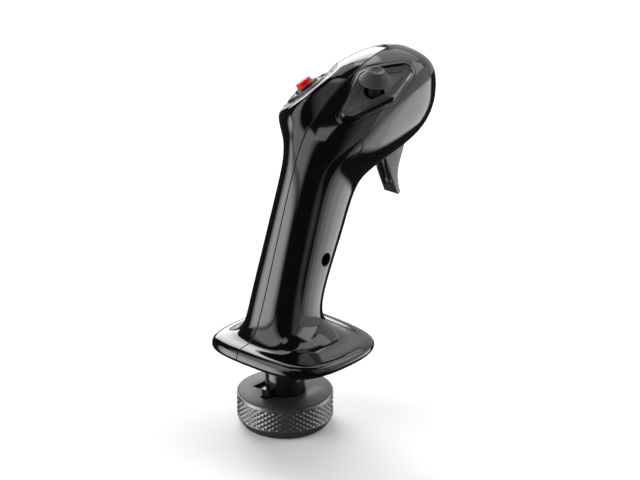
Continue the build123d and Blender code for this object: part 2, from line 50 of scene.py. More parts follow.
WALL = 2.6                  # thickness of the two half shells
ROWS_PER_SPAN = 12          # mesh rows per span of the grip's control net
RING_STEPS = 56             # mesh columns round one half
SEAM_GAP = 0.13             # half the open width of the line between the shells
# Rounded edge of each shell along that line: distance from the middle plane, depth under the skin.
SEAM_PROFILE = ((SEAM_GAP, 0.9), (SEAM_GAP, 0.22), (0.19, 0.07), (0.34, 0.0))
LIP_COLUMNS = len(SEAM_PROFILE) - 1     # mesh columns of that edge, on each side of a half

# Half sections of the grip: (a, b) with a from the rear edge to the front edge and b in half widths.
SECTIONS = {
    "plate": ((0, 0), (0, .60), (.08, .94), (.5, 1.0), (.92, .94), (1, .60), (1, 0)),
    "oval": ((0, 0), (0, .50), (.11, .95), (.5, 1.04), (.89, .95), (1, .50), (1, 0)),
    "roof": ((0, 0), (.04, .40), (.20, 1.06), (.50, 1.04), (.78, 1.00), (1, .70), (1, 0)),
    "crown": ((0, 0), (0, .45), (.09, 1.06), (.45, 1.10), (.78, 1.00), (1, .70), (1, 0)),
    "ramp": ((0, 0), (-.05, .25), (-.02, .75), (.35, 1.10), (.70, .92), (1, .55), (1, 0)),
    "pod": ((0, 0), (-.17, .10), (-.13, .42), (.26, 1.12), (.62, .86), (1, .55), (1, 0)),
    "nose": ((0, 0), (.02, .55), (.14, 1.04), (.50, 1.06), (.80, 1.02), (1, .66), (1, 0)),
}

# Control sections from the neck, out round the hand rest, up the column and along the head:
# rear x, rear z, front x, front z, right half width, right section, left half width, left section.
GRIP = (
    (-9.4, 36.6, 9.4, 36.6, 9.4, "oval", 9.4, "oval"),
    (-19.0, 37.8, 19.0, 37.8, 23.0, "plate", 18.0, "plate"),
    (-28.0, 39.4, 26.8, 39.4, 37.2, "plate", 24.5, "plate"),
    (-31.9, 40.6, 30.2, 40.8, 42.5, "plate", 27.0, "plate"),
    (-31.9, 44.8, 30.4, 44.6, 42.7, "plate", 27.2, "plate"),
    (-29.4, 47.4, 28.2, 46.4, 39.7, "plate", 25.0, "plate"),
    (-24.0, 47.2, 22.6, 45.6, 30.0, "plate", 21.0, "plate"),
    (-20.2, 50.2, 23.5, 46.8, 24.0, "oval", 16.0, "oval"),
    (-17.2, 56.0, 16.6, 50.6, 17.0, "oval", 14.6, "oval"),
    (-13.4, 66.4, 15.4, 58.0, 14.9, "oval", 14.7, "oval"),
    (-7.8, 83.0, 22.2, 73.0, 14.2, "oval", 14.2, "oval"),
    (-2.2, 100.0, 31.0, 89.0, 13.9, "oval", 13.9, "oval"),
    (3.6, 116.8, 37.4, 103.4, 13.6, "oval", 13.6, "oval"),
    (8.6, 130.2, 41.4, 110.5, 14.3, "oval", 14.3, "oval"),
    (14.0, 141.4, 45.0, 114.6, 16.5, "roof", 23.0, "ramp"),
    (25.6, 149.4, 51.0, 117.6, 18.5, "roof", 28.0, "pod"),
    (40.0, 159.0, 58.0, 119.5, 19.5, "roof", 28.0, "pod"),
    (58.0, 167.5, 69.0, 122.0, 19.5, "roof", 22.0, "crown"),
    (75.0, 171.0, 81.0, 126.0, 18.5, "nose", 19.0, "nose"),
    (89.0, 167.0, 91.0, 135.0, 15.5, "nose", 16.0, "nose"),
    (95.0, 157.0, 95.0, 147.0, 8.5, "nose", 8.5, "nose"),
    (95.6, 152.2, 95.6, 152.0, 0.5, "nose", 0.5, "nose"),
)
REST_SECTION = 4            # the hand rest's widest section
FIRST_HOLLOW_SECTION = 8    # the cavity runs from this section to the nose
NOSE_SECTION = 19           # from here on the cavity also stays a wall back from the nose
CAVITY_FOOT_Z = 40.4        # the cavity's open foot, inside the hand rest
BELOW_REST_Z = 30.0         # clear of the hand rest, where the cuts from below start
NECK_BORE_R = 9.45
NECK_BORE_TOP_Z = 49.8
COVER_RECESS_TOP_Z = 43.0   # the recess for the cover under the hand rest
COVER_RECESS_MARGIN = 4.0   # and how far it stays in from the rest's edge
TRIGGER_SLOT = ((61.6, -5.3), (83.2, -5.3), (83.2, 5.3), (61.6, 5.3))
TRIGGER_SLOT_Z = (112.0, 131.0)
LOWER_SCREW = (13.5, 82.4)  # x, z
UPPER_SCREW = (28.8, 134.2)
COUNTERBORE_R = 3.35
PLUG_RECESS_R = 4.7
OUTSIDE_Y = -30.0           # clear of the right shell, where the screw bores start
# Bores in the right shell: x and z, y of the bottom, radius.
SCREW_BORES = (
    (LOWER_SCREW, -5.9, COUNTERBORE_R),
    (UPPER_SCREW, -5.9, COUNTERBORE_R),
    (UPPER_SCREW, -14.2, PLUG_RECESS_R),
)

PANEL_OUTLINE = ((-32.8, -2.4), (2.2, -8.1), (26.4, -2.0), (1.2, 11.8))
PANEL_CORNER_R = (3.4, 6.0, 2.9, 6.0)
PANEL_RIM = 2.0             # width of the groove round the panel
PANEL_BACK = -2.7           # the panel's underside, along its own frame
RIDGE_STARTS = (-0.5, -1.5, -2.5)
RIDGE_PROFILE = ((0.0, 0.5), (0.06, 0.2), (0.16, 0.05), (0.3, 0.0), (0.5, 0.0), (0.64, 0.05), (0.74, 0.2),
                 (0.8, 0.5))                                # distance inwards, depth
RIDGE_STEP = 0.12           # each ridge lies this much below the one outside it
RIDGE_FOOT = 0.55
FLOOR_EDGE = -3.6
STICK_HOLE_R = 5.0

CAP_BASE_R = 7.75
CAP_TOP_R = 3.7
CAP_HEIGHT = 6.0
CAP_GAP = 4.2               # from the panel's plane up to the cap's rim
CAP_RINGS = 11
CAP_RING_DEPTH = 0.26
CAP_DISH_DEPTH = 1.1
STICK_UV = (-1.35, 1.1)     # where the stick's cap stands, in the panel's plane

BEZEL_R = 14.3
BEZEL_BRIDGES = 4
BEZEL_SEAT = -2.6           # bottom of the bezel's recess, along the button's own axis
BUTTON_CAP_R = 4.0
BUTTON_WELL_R = 9.2         # the deeper well for the collar and the plunger
BUTTON_WELL_SEAT = -8.0
LEVEL_R = 14.6              # the skin lies in the disc's plane out to here
LEVEL_BLEND = 4.5           # width over which it blends back into its own shape
LEVEL_REAR_BLEND = 9.0      # added to that width behind the disc
LEVEL_DEPTH = 20.0          # skin that is deeper than this under the disc stays as it is
LEVEL_DEPTH_BLEND = 18.0

NUT_R = 23.0
NUT_FOOT_R = 20.5
NUT_TOP_Z = 16.0
THREAD_R = 17.0
RIM_BORE_R = 22.4
KNURL_LOW_Z = 4.7
KNURL_HIGH_Z = 14.4
KNURL_ROWS = 4
KNURL_COUNT = 41
KNURL_DEPTH = 0.45
KNURL_SLOPE = 0.85          # share of a diamond that its sloping sides take

CAMERA_TARGET = (11.39, -12.15, 92.38)
CAMERA_BACK = (-0.678, -0.635, 0.370)
CAMERA_DISTANCE = 0.9       # metres
CAMERA_LENS = 109.6

LAMP_MIDDLE = (0.03, 0.0, 0.1)      # metres, the point that every lamp faces
LAMP_REACH = 1.4                    # metres
FLOOR_REACH = 8.0                   # metres, from the middle of the floor to its edges
ROOM_STRENGTH = 0.04                # light from the room itself
# Name, azimuth range, elevation range, radiance, fade at the low and high azimuth, seen in gloss.
SOFTBOXES = (
    ("top_fill", (0, 100), (40, 140), 11.0, (0.0, 0.0), False),
    ("left_low", (118, 172), (-38, 14), 5.0, (14.0, 18.0), True),
    ("left_high", (125, 185), (14, 62), 2.3, (10.0, 20.0), True),
    ("rear_top", (-185, -140), (55, 72), 2.0, (0.0, 0.0), True),
    ("right", (-66, -20), (18, 54), 3.2, (16.0, 4.0), True),
    ("right_edge", (-100, -62), (-12, 52), 0.7, (20.0, 4.0), True),
    ("right_top", (-20, 42), (38, 72), 2.0, (0.0, 0.0), True),
    ("right_wash", (-20, 15), (-5, 38), 0.9, (0.0, 0.0), True),
    ("right_low", (-66, -12), (-32, -5), 3.4, (34.0, 4.0), True),
    ("backdrop", (15, 42), (-12, 38), 0.9, (0.0, 0.0), True),
    ("edge_low", (43, 62), (-14, 12), 1.3, (0.0, 0.0), True),
    ("edge_top", (42, 84), (48, 70), 2.6, (0.0, 0.0), True),
    ("right_mid", (-66, -20), (-5, 18), 1.2, (0.0, 0.0), True),
    ("edge_strip", (43, 84), (12, 48), 6.5, (0.0, 0.0), True),
)
FADE_LAYERS = 4
FADE_INSET = 4.0            # degrees that a fading lamp also gathers at its top and bottom


# ---------------------------------------------------------------- frames and numbers

def placed(origin, x_dir, z_dir):
    """Matrix, in metres, of a local frame given in millimetres."""
    z = Vector(z_dir).normalized()
    x = Vector(x_dir)
    x = (x - z * x.dot(z)).normalized()
    y = z.cross(x)
    turn = Matrix((x, y, z)).transposed().to_4x4()
    return Matrix.Translation(Vector(origin) * MM) @ turn


PANEL_FRAME = placed((49.16, -13.18, 157.67), (0.952, -0.05, 0.303), (-0.29, -0.47, 0.833))
BUTTON_FRAME = placed((35.4, 18.0, 153.5), (0.936, 0.0, 0.352), (-0.302, 0.515, 0.802))
UPRIGHT = Matrix.Identity(4)
STICK_FRAME = placed(PANEL_FRAME @ (Vector((*STICK_UV, CAP_GAP)) * MM) / MM, (0.994, 0.0, 0.11),
                     (-0.107, -0.228, 0.967))


def smooth_step(t):
    t = np.clip(t, 0.0, 1.0)
    return t * t * t * (t * (6.0 * t - 15.0) + 10.0)


def basis(count, u):
    """Weights of `count` control points of a clamped uniform cubic B-spline at u from 0 to 1."""
    if u >= 1.0:
        return np.eye(count)[-1]
    spans = count - 3
    knots = [0.0] * 3 + [i / spans for i in range(spans + 1)] + [1.0] * 3
    weights = [1.0 if knots[i] <= u < knots[i + 1] else 0.0 for i in range(len(knots) - 1)]
    for degree in (1, 2, 3):
        raised = []
        for i in range(len(weights) - 1):
            rise = knots[i + degree] - knots[i]
            fall = knots[i + degree + 1] - knots[i + 1]
            left = (u - knots[i]) / rise * weights[i] if rise > 0 else 0.0
            right = (knots[i + degree + 1] - u) / fall * weights[i + 1] if fall > 0 else 0.0
            raised.append(left + right)
        weights = raised
    return np.array(weights)


# ---------------------------------------------------------------- materials

def node_material(name):
    material = bpy.data.materials.new(name)
    material.use_nodes = True
    nodes = material.node_tree.nodes
    return material, nodes, material.node_tree.links, nodes["Principled BSDF"]


def add_noise(nodes, links, scale):
    coords = nodes.new("ShaderNodeTexCoord")
    noise = nodes.new("ShaderNodeTexNoise")
    noise.inputs["Scale"].default_value = scale
    noise.inputs["Detail"].default_value = 3.0
    links.new(coords.outputs["Object"], noise.inputs["Vector"])
    return noise


def add_range(nodes, links, source, low, high):
    mapped = nodes.new("ShaderNodeMapRange")
    mapped.inputs["From Min"].default_value = 0.3
    mapped.inputs["From Max"].default_value = 0.7
    mapped.inputs["To Min"].default_value = low
    mapped.inputs["To Max"].default_value = high
    links.new(source, mapped.inputs["Value"])
    return mapped.outputs["Result"]


def surface(name, colour, rough, grain=1500.0, bump=0.0, metal=0.0, spread=0.12, **sockets):
    """A moulded or machined surface: mottled colour, uneven gloss and a fine grain."""
    material, nodes, links, shader = node_material(name)
    shader.inputs["Metallic"].default_value = metal
    for socket, value in sockets.items():
        shader.inputs[socket.replace("_", " ")].default_value = value
    broad = add_noise(nodes, links, 45.0)
    ramp = nodes.new("ShaderNodeValToRGB")
    ramp.color_ramp.elements[0].position = 0.3
    ramp.color_ramp.elements[1].position = 0.7
    ramp.color_ramp.elements[0].color = (*[c * (1.0 - spread) for c in colour], 1.0)
    ramp.color_ramp.elements[1].color = (*[min(c * (1.0 + spread), 1.0) for c in colour], 1.0)
    links.new(broad.outputs["Fac"], ramp.inputs["Fac"])
    links.new(ramp.outputs["Color"], shader.inputs["Base Color"])
    fine = add_noise(nodes, links, grain)
    uneven = add_range(nodes, links, fine.outputs["Fac"], rough * 0.88, rough * 1.12)
    links.new(uneven, shader.inputs["Roughness"])
    if bump:
        relief = nodes.new("ShaderNodeBump")
        relief.inputs["Strength"].default_value = bump
        relief.inputs["Distance"].default_value = 0.00006
        links.new(fine.outputs["Fac"], relief.inputs["Height"])
        links.new(relief.outputs["Normal"], shader.inputs["Normal"])
    return material


def make_materials():
    return {
        "shell": surface("piano_black", (0.002, 0.002, 0.0021), 0.09, IOR=1.5, Coat_Weight=0.1,
                         Coat_Roughness=0.03),
        "inner": surface("inside_black", (0.012, 0.012, 0.012), 0.6, 2500.0, 0.3),
        "panel": surface("panel_satin", (0.062, 0.062, 0.059), 0.5, 5000.0, 0.2),
        "stick_rubber": surface("stick_rubber", (0.048, 0.048, 0.047), 0.62, 4000.0, 0.4),
        "bezel": surface("bezel_satin", (0.02, 0.02, 0.021), 0.24, 3000.0, 0.1),
        "black_plastic": surface("black_plastic", (0.012, 0.012, 0.012), 0.35, 3500.0, 0.2),
        "red_plastic": surface("red_plastic", (0.85, 0.001, 0.001), 0.4, 1500.0, Specular_IOR_Level=0.25),
        "trigger_plastic": surface("trigger_satin", (0.03, 0.03, 0.03), 0.3, 4000.0, 0.1),
        # Painted shade: a darker, less metallic copy of the grey anodised finish, so that the key plate's top
        # shows darker than the knurl.
        "anodised_top": surface("grey_anodised_painted_shade", (0.045, 0.045, 0.044), 0.45, 6000.0, 0.05, 0.15, 0.05,
                                Specular_IOR_Level=0.3),
        "anodised": surface("grey_anodised", (0.17, 0.17, 0.168), 0.36, 6000.0, 0.05, 0.8, 0.05),
        "neck": surface("neck_gloss", (0.01, 0.01, 0.011), 0.12, 1500.0),
        "steel": surface("zinc_steel", (0.55, 0.55, 0.56), 0.3, 3000.0, 0.2, 1.0),
        "brass": surface("turned_brass", (0.72, 0.5, 0.22), 0.28, 3000.0, 0.15, 1.0),
        "white_plastic": surface("acetal", (0.72, 0.72, 0.69), 0.4, 2500.0, 0.1),
        "board": surface("solder_mask", (0.012, 0.11, 0.045), 0.3, 2500.0, 0.1),
        "chip": surface("epoxy", (0.02, 0.02, 0.02), 0.5, 4000.0, 0.3),
        "cable_jacket": surface("cable_jacket", (0.015, 0.015, 0.015), 0.5, 3000.0, 0.2),
    }


MATERIALS = make_materials()


def dress_cad_nodes():
    """Every carried CAD node takes the procedural material of its slot."""
    for part in frame["record"]["subparts"]:
        node = frame["nodes"][part["node"]]
        for holder in node.material_slots:
            holder.material = MATERIALS[part["material_slot"]]


# ---------------------------------------------------------------- mesh helpers

def piece(name, verts, faces, *materials, sharp=35.0, in_metres=False):
    """A mesh object from points, in millimetres unless told otherwise, with its edges sharp past an angle."""
    mesh = bpy.data.meshes.new(name)
    scale = 1.0 if in_metres else MM
    corners = [tuple(c * scale for c in v) for v in verts]
    mesh.from_pydata(corners, [], [tuple(int(i) for i in f) for f in faces])
    mesh.validate()
    for material in materials:
        mesh.materials.append(material)
    mesh.shade_smooth()
    mesh.set_sharp_from_angle(angle=math.radians(sharp))
    obj = bpy.data.objects.new(name, mesh)
    bpy.context.scene.collection.objects.link(obj)
    return obj


def face_outwards(obj):
    work = bmesh.new()
    work.from_mesh(obj.data)
    bmesh.ops.recalc_face_normals(work, faces=work.faces)
    work.to_mesh(obj.data)
    work.free()


def loops_piece(name, loops, *materials, closed_tube=True, sharp=35.0, transform=None):
    """A solid from a stack of closed loops with the same number of points, joined end to end or capped."""
    count = len(loops[0])
    verts = [p for loop in loops for p in loop]
    faces = []
    rows = len(loops)
    for i in range(rows if closed_tube else rows - 1):
        a, b = i * count, ((i + 1) % rows) * count
        faces += [(a + j, a + (j + 1) % count, b + (j + 1) % count, b + j) for j in range(count)]
    if not closed_tube:
        faces.append(tuple(range(count)))
        faces.append(tuple(range((rows - 1) * count, rows * count)))
    obj = piece(name, verts, faces, *materials, sharp=sharp)
    face_outwards(obj)
    if transform:
        obj.data.transform(transform)
    return obj


def ring(radius, z, count):
    return [(radius * math.cos(2 * math.pi * i / count), radius * math.sin(2 * math.pi * i / count), z)
            for i in range(count)]


def turned(name, profile, material, count=128, transform=None, sharp=35.0):
    """Revolve (radius, z) points: capped if the outline starts on the axis, else closed on itself."""
    solid = profile[0][0] == 0
    loops = [ring(r, z, count) for r, z in profile if r > 0]
    return loops_piece(name, loops, material, closed_tube=not solid, sharp=sharp, transform=transform)


def soften(obj, width, segments=2, angle=30.0):
    """Round the hard edges over by a real bevel."""
    bevel = obj.modifiers.new("edges", "BEVEL")
    bevel.width = width * MM
    bevel.segments = segments
    bevel.limit_method = "ANGLE"
    bevel.angle_limit = math.radians(angle)
    bevel.harden_normals = True
    bake_modifiers(obj)


def bake_modifiers(obj):
    depsgraph = bpy.context.evaluated_depsgraph_get()
    baked = bpy.data.meshes.new_from_object(obj.evaluated_get(depsgraph))
    obj.modifiers.clear()
    obj.data = baked


def carve(obj, cutters):
    for cutter in cutters:
        cut = obj.modifiers.new("cut", "BOOLEAN")
        cut.operation = "DIFFERENCE"
        cut.solver = "EXACT"
        cut.object = cutter
        bake_modifiers(obj)
        bpy.data.objects.remove(cutter)


def inner_faces(obj):
    """Faces that a cutter leaves take the second material."""
    for polygon in obj.data.polygons:
        polygon.material_index = 1
    return obj


def cutter_solid(loops, transform):
    obj = loops_piece("cutter", loops, MATERIALS["shell"], MATERIALS["inner"], closed_tube=False,
                      transform=transform)
    return inner_faces(obj)


def cutter_cylinder(low, high, radius, transform, count=96):
    return cutter_solid([ring(radius, low, count), ring(radius, high, count)], transform)


def cutter_prism(outline, low, high, transform):
    return cutter_solid([[(u, v, w) for u, v in outline] for w in (low, high)], transform)


def along_y(x, z):
    """A frame whose Z runs along the row's +Y, for features across the grip."""
    return placed((x, 0.0, z), (1, 0, 0), (0, 1, 0))


def rounded_copy(node, name, width, material, segments=3):
    """A copy of a CAD node's shape with its hard edges rounded over, which stands for the node."""
    work = bmesh.new()
    work.from_mesh(frame["nodes"][node].data)
    bmesh.ops.remove_doubles(work, verts=work.verts, dist=1e-6)
    bmesh.ops.dissolve_limit(work, angle_limit=math.radians(0.6), verts=work.verts, edges=work.edges)
    mesh = bpy.data.meshes.new(name)
    work.to_mesh(mesh)
    work.free()
    mesh.materials.clear()
    mesh.materials.append(material)
    mesh.shade_smooth()
    obj = bpy.data.objects.new(name, mesh)
    bpy.context.scene.collection.objects.link(obj)
    soften(obj, width, segments, 28.0)
    return obj


def settle(obj, body, slot_name, *nodes):
    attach(obj, body)
    if nodes:
        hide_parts(*nodes)
    return obj


# ---------------------------------------------------------------- the grip's skin

def level_for_button(points):
    """Lift the left roof to the plane of the button's disc, so that the disc sits flush in it."""
    turn = np.array(BUTTON_FRAME.to_3x3())
    centre = np.array(BUTTON_FRAME.translation) / MM
    normal = turn[:, 2]
    away = points - centre
    height = away @ normal
    radius = np.linalg.norm(away - height[..., None] * normal, axis=-1)
    rearward = smooth_step(-(away @ turn[:, 0]) / np.maximum(radius, 1.0))
    near = 1.0 - smooth_step((radius - LEVEL_R) / (LEVEL_BLEND + LEVEL_REAR_BLEND * rearward))
    outer = smooth_step((height + LEVEL_DEPTH) / LEVEL_DEPTH_BLEND)
    left = smooth_step(points[..., 1] / 4.0)
    return points - (height * near * outer * left)[..., None] * normal


def grip_points(sections, side, columns, rows_per_span=ROWS_PER_SPAN):
    """Points of one half of the grip's skin; side is -1 for the right half and +1 for the left."""
    net = []
    for rear_x, rear_z, front_x, front_z, right_w, right_s, left_w, left_s in sections:
        width, style = (right_w, right_s) if side < 0 else (left_w, left_s)
        net.append([(rear_x + (front_x - rear_x) * a, side * width * b, rear_z + (front_z - rear_z) * a)
                    for a, b in SECTIONS[style]])
    net = np.array(net)
    steps = (len(net) - 3) * rows_per_span
    along = np.array([basis(len(net), i / steps) for i in range(steps + 1)])
    across = np.array([basis(net.shape[1], u) for u in columns])
    return np.einsum("si,tj,ijk->stk", along, across, net)


def shrunk(sections, wall):
    """The same sections drawn in by a wall, for the cavity inside."""
    inner = []
    for i, (rx, rz, fx, fz, rw, rs, lw, ls) in enumerate(sections):
        length = math.hypot(fx - rx, fz - rz)
        ux, uz = (fx - rx) / length, (fz - rz) / length
        step = min(wall, length / 2 - 0.05)
        back = wall if i >= NOSE_SECTION else 0.0
        inner.append((rx + ux * step - back, rz + uz * step, fx - ux * step - back, fz - uz * step,
                      max(rw - wall, 0.4), rs, max(lw - wall, 0.4), ls))
    return inner


def grid_normals(points):
    along = np.gradient(points, axis=0)
    across = np.gradient(points, axis=1)
    normals = np.cross(along, across)
    length = np.linalg.norm(normals, axis=-1, keepdims=True)
    return normals / np.maximum(length, 1e-12)


def grid_faces(rows, columns):
    return [(i * columns + j, i * columns + j + 1, (i + 1) * columns + j + 1, (i + 1) * columns + j)
            for i in range(rows - 1) for j in range(columns - 1)]


def end_faces(rows, columns):
    """The faces that close a half grid: the middle plane, then its first and last row."""
    rear = [i * columns for i in range(rows)]
    front = [i * columns + columns - 1 for i in range(rows - 1, -1, -1)]
    first, last = range(columns), range((rows - 1) * columns, rows * columns)
    return [tuple(rear + front), tuple(first), tuple(last)]


def skin(side):
    columns = np.linspace(0.0, 1.0, RING_STEPS + 1)
    points = grip_points(GRIP, side, columns)
    if side > 0:
        points = level_for_button(points)
    normals = grid_normals(points)
    if side < 0:
        normals = -normals
    return points, normals


def with_seam_lip(points, normals, side):
    """Replace the edge columns on the middle plane by a small rounded lip that dips into the seam."""
    lip = []
    for edge, neighbour in ((0, 1), (-1, -2)):
        base, inward = points[:, edge], points[:, neighbour]
        facing = normals[:, edge] * np.array([1.0, 0.0, 1.0])
        facing /= np.maximum(np.linalg.norm(facing, axis=1, keepdims=True), 1e-9)
        reach = np.abs(inward[:, 1:2])
        profile = []
        for offset, depth in SEAM_PROFILE:
            share = np.minimum(offset / np.maximum(reach, 1e-6), 1.0)
            point = base + (inward - base) * share - facing * depth
            point[:, 1] = side * np.minimum(offset, np.maximum(reach[:, 0], 0.02))
            profile.append(point)
        lip.append(profile if edge == 0 else profile[::-1])
    rear, front = lip
    middle = [points[:, j] for j in range(1, points.shape[1] - 1)]
    return np.stack(rear + middle + front, axis=1)


def outer_half(side):
    """Closed mesh of one half: skin, seam lips, middle plane and the neck's end."""
    points, normals = skin(side)
    grid = with_seam_lip(points, normals, side)
    rows, columns, _ = grid.shape
    verts = grid.reshape(-1, 3)
    faces = grid_faces(rows, columns)
    skin_count = len(faces)
    faces += end_faces(rows, columns)
    obj = piece("half", verts, faces, MATERIALS["shell"], MATERIALS["inner"])
    for polygon in obj.data.polygons:
        column = polygon.index % (columns - 1)
        in_lip = column < LIP_COLUMNS or column >= columns - 1 - LIP_COLUMNS
        polygon.material_index = 0 if polygon.index < skin_count and not in_lip else 1
    face_outwards(obj)
    return obj


def cavity(side):
    inner = shrunk(GRIP, WALL)
    start = inner[FIRST_HOLLOW_SECTION]
    foot = (start[0] - 1.0, CAVITY_FOOT_Z, start[2] + 1.0, CAVITY_FOOT_Z) + tuple(start[4:])
    columns = np.linspace(0.0, 1.0, 25)
    points = grip_points([foot] + inner[FIRST_HOLLOW_SECTION:], side, columns, 4)
    points[:, 0, 1] = -side * 1.0
    points[:, -1, 1] = -side * 1.0
    rows, count, _ = points.shape
    faces = grid_faces(rows, count)
    faces += end_faces(rows, count)
    obj = piece("cavity", points.reshape(-1, 3), faces, MATERIALS["shell"], MATERIALS["inner"])
    face_outwards(obj)
    return inner_faces(obj)


def skin_lookup(side):
    """Gives the skin's smooth normal at any point near it."""
    points, normals = skin(side)
    rows, columns, _ = points.shape
    verts = [Vector(p) * MM for p in points.reshape(-1, 3)]
    flat = normals.reshape(-1, 3)
    triangles = []
    for a, b, c, d in grid_faces(rows, columns):
        triangles += [(a, b, c), (a, c, d)]
    tree = BVHTree.FromPolygons(verts, triangles)

    def normal_at(point):
        spot, _, index, _ = tree.find_nearest(point)
        corners = triangles[index]
        a, b, c = (verts[k] for k in corners)
        whole = (b - a).cross(c - a).length
        if whole < 1e-14:
            return Vector(flat[corners[0]])
        weights = [(end - start).cross(spot - start).length for start, end in ((b, c), (c, a), (a, b))]
        mixed = sum((Vector(flat[k]) * w for k, w in zip(corners, weights)), Vector())
        return mixed.normalized()

    return normal_at, tree


def smooth_skin(obj, normal_at):
    """Skin faces take the formula's own normals, so that the gloss flows past every cut."""
    mesh = obj.data
    normals = [(0.0, 0.0, 0.0)] * len(mesh.loops)
    known = {}
    for polygon in mesh.polygons:
        if polygon.material_index:
            continue
        for loop_index in polygon.loop_indices:
            vertex = mesh.loops[loop_index].vertex_index
            if vertex not in known:
                known[vertex] = tuple(normal_at(mesh.vertices[vertex].co))
            normals[loop_index] = known[vertex]
    mesh.normals_split_custom_set(normals)


def rest_outline(margin, count=28):
    """The hand rest's outline, drawn in by a margin, right side then left."""
    rx, _, fx, _, rw, _, lw, _ = GRIP[REST_SECTION]
    outline = []
    for side, width in ((-1, rw), (1, lw)):
        row = np.array([(rx + margin + (fx - rx - 2 * margin) * a, side * (width - margin) * b)
                        for a, b in SECTIONS["plate"]])
        curve = [tuple(basis(len(row), j / count) @ row) for j in range(count)]
        if side > 0:
            curve = [tuple(basis(len(row), 1.0 - j / count) @ row) for j in range(count)]
        outline += curve
    return outline


def half_shell(side, normal_at):
    """One half of the grip: hollow, open below and at the trigger, with its own side's recesses."""
    name = "right_shell_skin" if side < 0 else "left_shell_skin"
    obj = outer_half(side)
    obj.name = name
    cutters = [
        cavity(side),
        cutter_prism(rest_outline(COVER_RECESS_MARGIN), BELOW_REST_Z, COVER_RECESS_TOP_Z, UPRIGHT),
        cutter_cylinder(BELOW_REST_Z, NECK_BORE_TOP_Z, NECK_BORE_R, UPRIGHT),
        cutter_prism(TRIGGER_SLOT, *TRIGGER_SLOT_Z, UPRIGHT),
    ]
    if side < 0:
        cutters += [cutter_cylinder(OUTSIDE_Y, bottom, radius, along_y(*place), 64)
                    for place, bottom, radius in SCREW_BORES]
        cutters.append(cutter_prism(panel_outline(PANEL_RIM + 0.22), -9.0, 6.0, PANEL_FRAME))
    else:
        cutters.append(cutter_cylinder(BEZEL_SEAT, 20.0, BEZEL_R + 0.2, BUTTON_FRAME))
        cutters.append(cutter_cylinder(BUTTON_WELL_SEAT, 1.0, BUTTON_WELL_R, BUTTON_FRAME))
    carve(obj, cutters)
    smooth_skin(obj, normal_at)
    return settle(obj, "grip", "shell", "right_shell" if side < 0 else "left_shell")


# ---------------------------------------------------------------- stick panel and mini stick

def panel_outline(grow, per_corner=14, per_side=10):
    """The rounded kite, grown outwards by a distance, as evenly matched points for every distance."""
    corners = [Vector(c) for c in PANEL_OUTLINE]
    outline = []
    stops = []
    for i, corner in enumerate(corners):
        before = (corners[i - 1] - corner).normalized()
        after = (corners[(i + 1) % 4] - corner).normalized()
        radius = PANEL_CORNER_R[i]
        half = before.angle(after) / 2
        centre = corner + (before + after).normalized() * (radius / math.sin(half))
        first = math.atan2(before.x, -before.y)
        last = math.atan2(-after.x, after.y)
        turn = (last - first) % (2 * math.pi)
        grown = max(radius + grow, 0.25)
        middle = centre + (before + after).normalized() * max(-(radius + grow) + 0.25, 0.0) / math.sin(half)
        stops.append((middle, first, turn, grown))
    for i, (centre, first, turn, grown) in enumerate(stops):
        arc = []
        for k in range(per_corner + 1):
            angle = first + turn * k / per_corner
            arc.append(centre + Vector((math.cos(angle), math.sin(angle))) * grown)
        outline += arc
        following, next_first, _, next_grown = stops[(i + 1) % 4]
        target = following + Vector((math.cos(next_first), math.sin(next_first))) * next_grown
        for k in range(1, per_side):
            outline.append(arc[-1].lerp(target, k / per_side))
    return [(p.x, p.y) for p in outline]


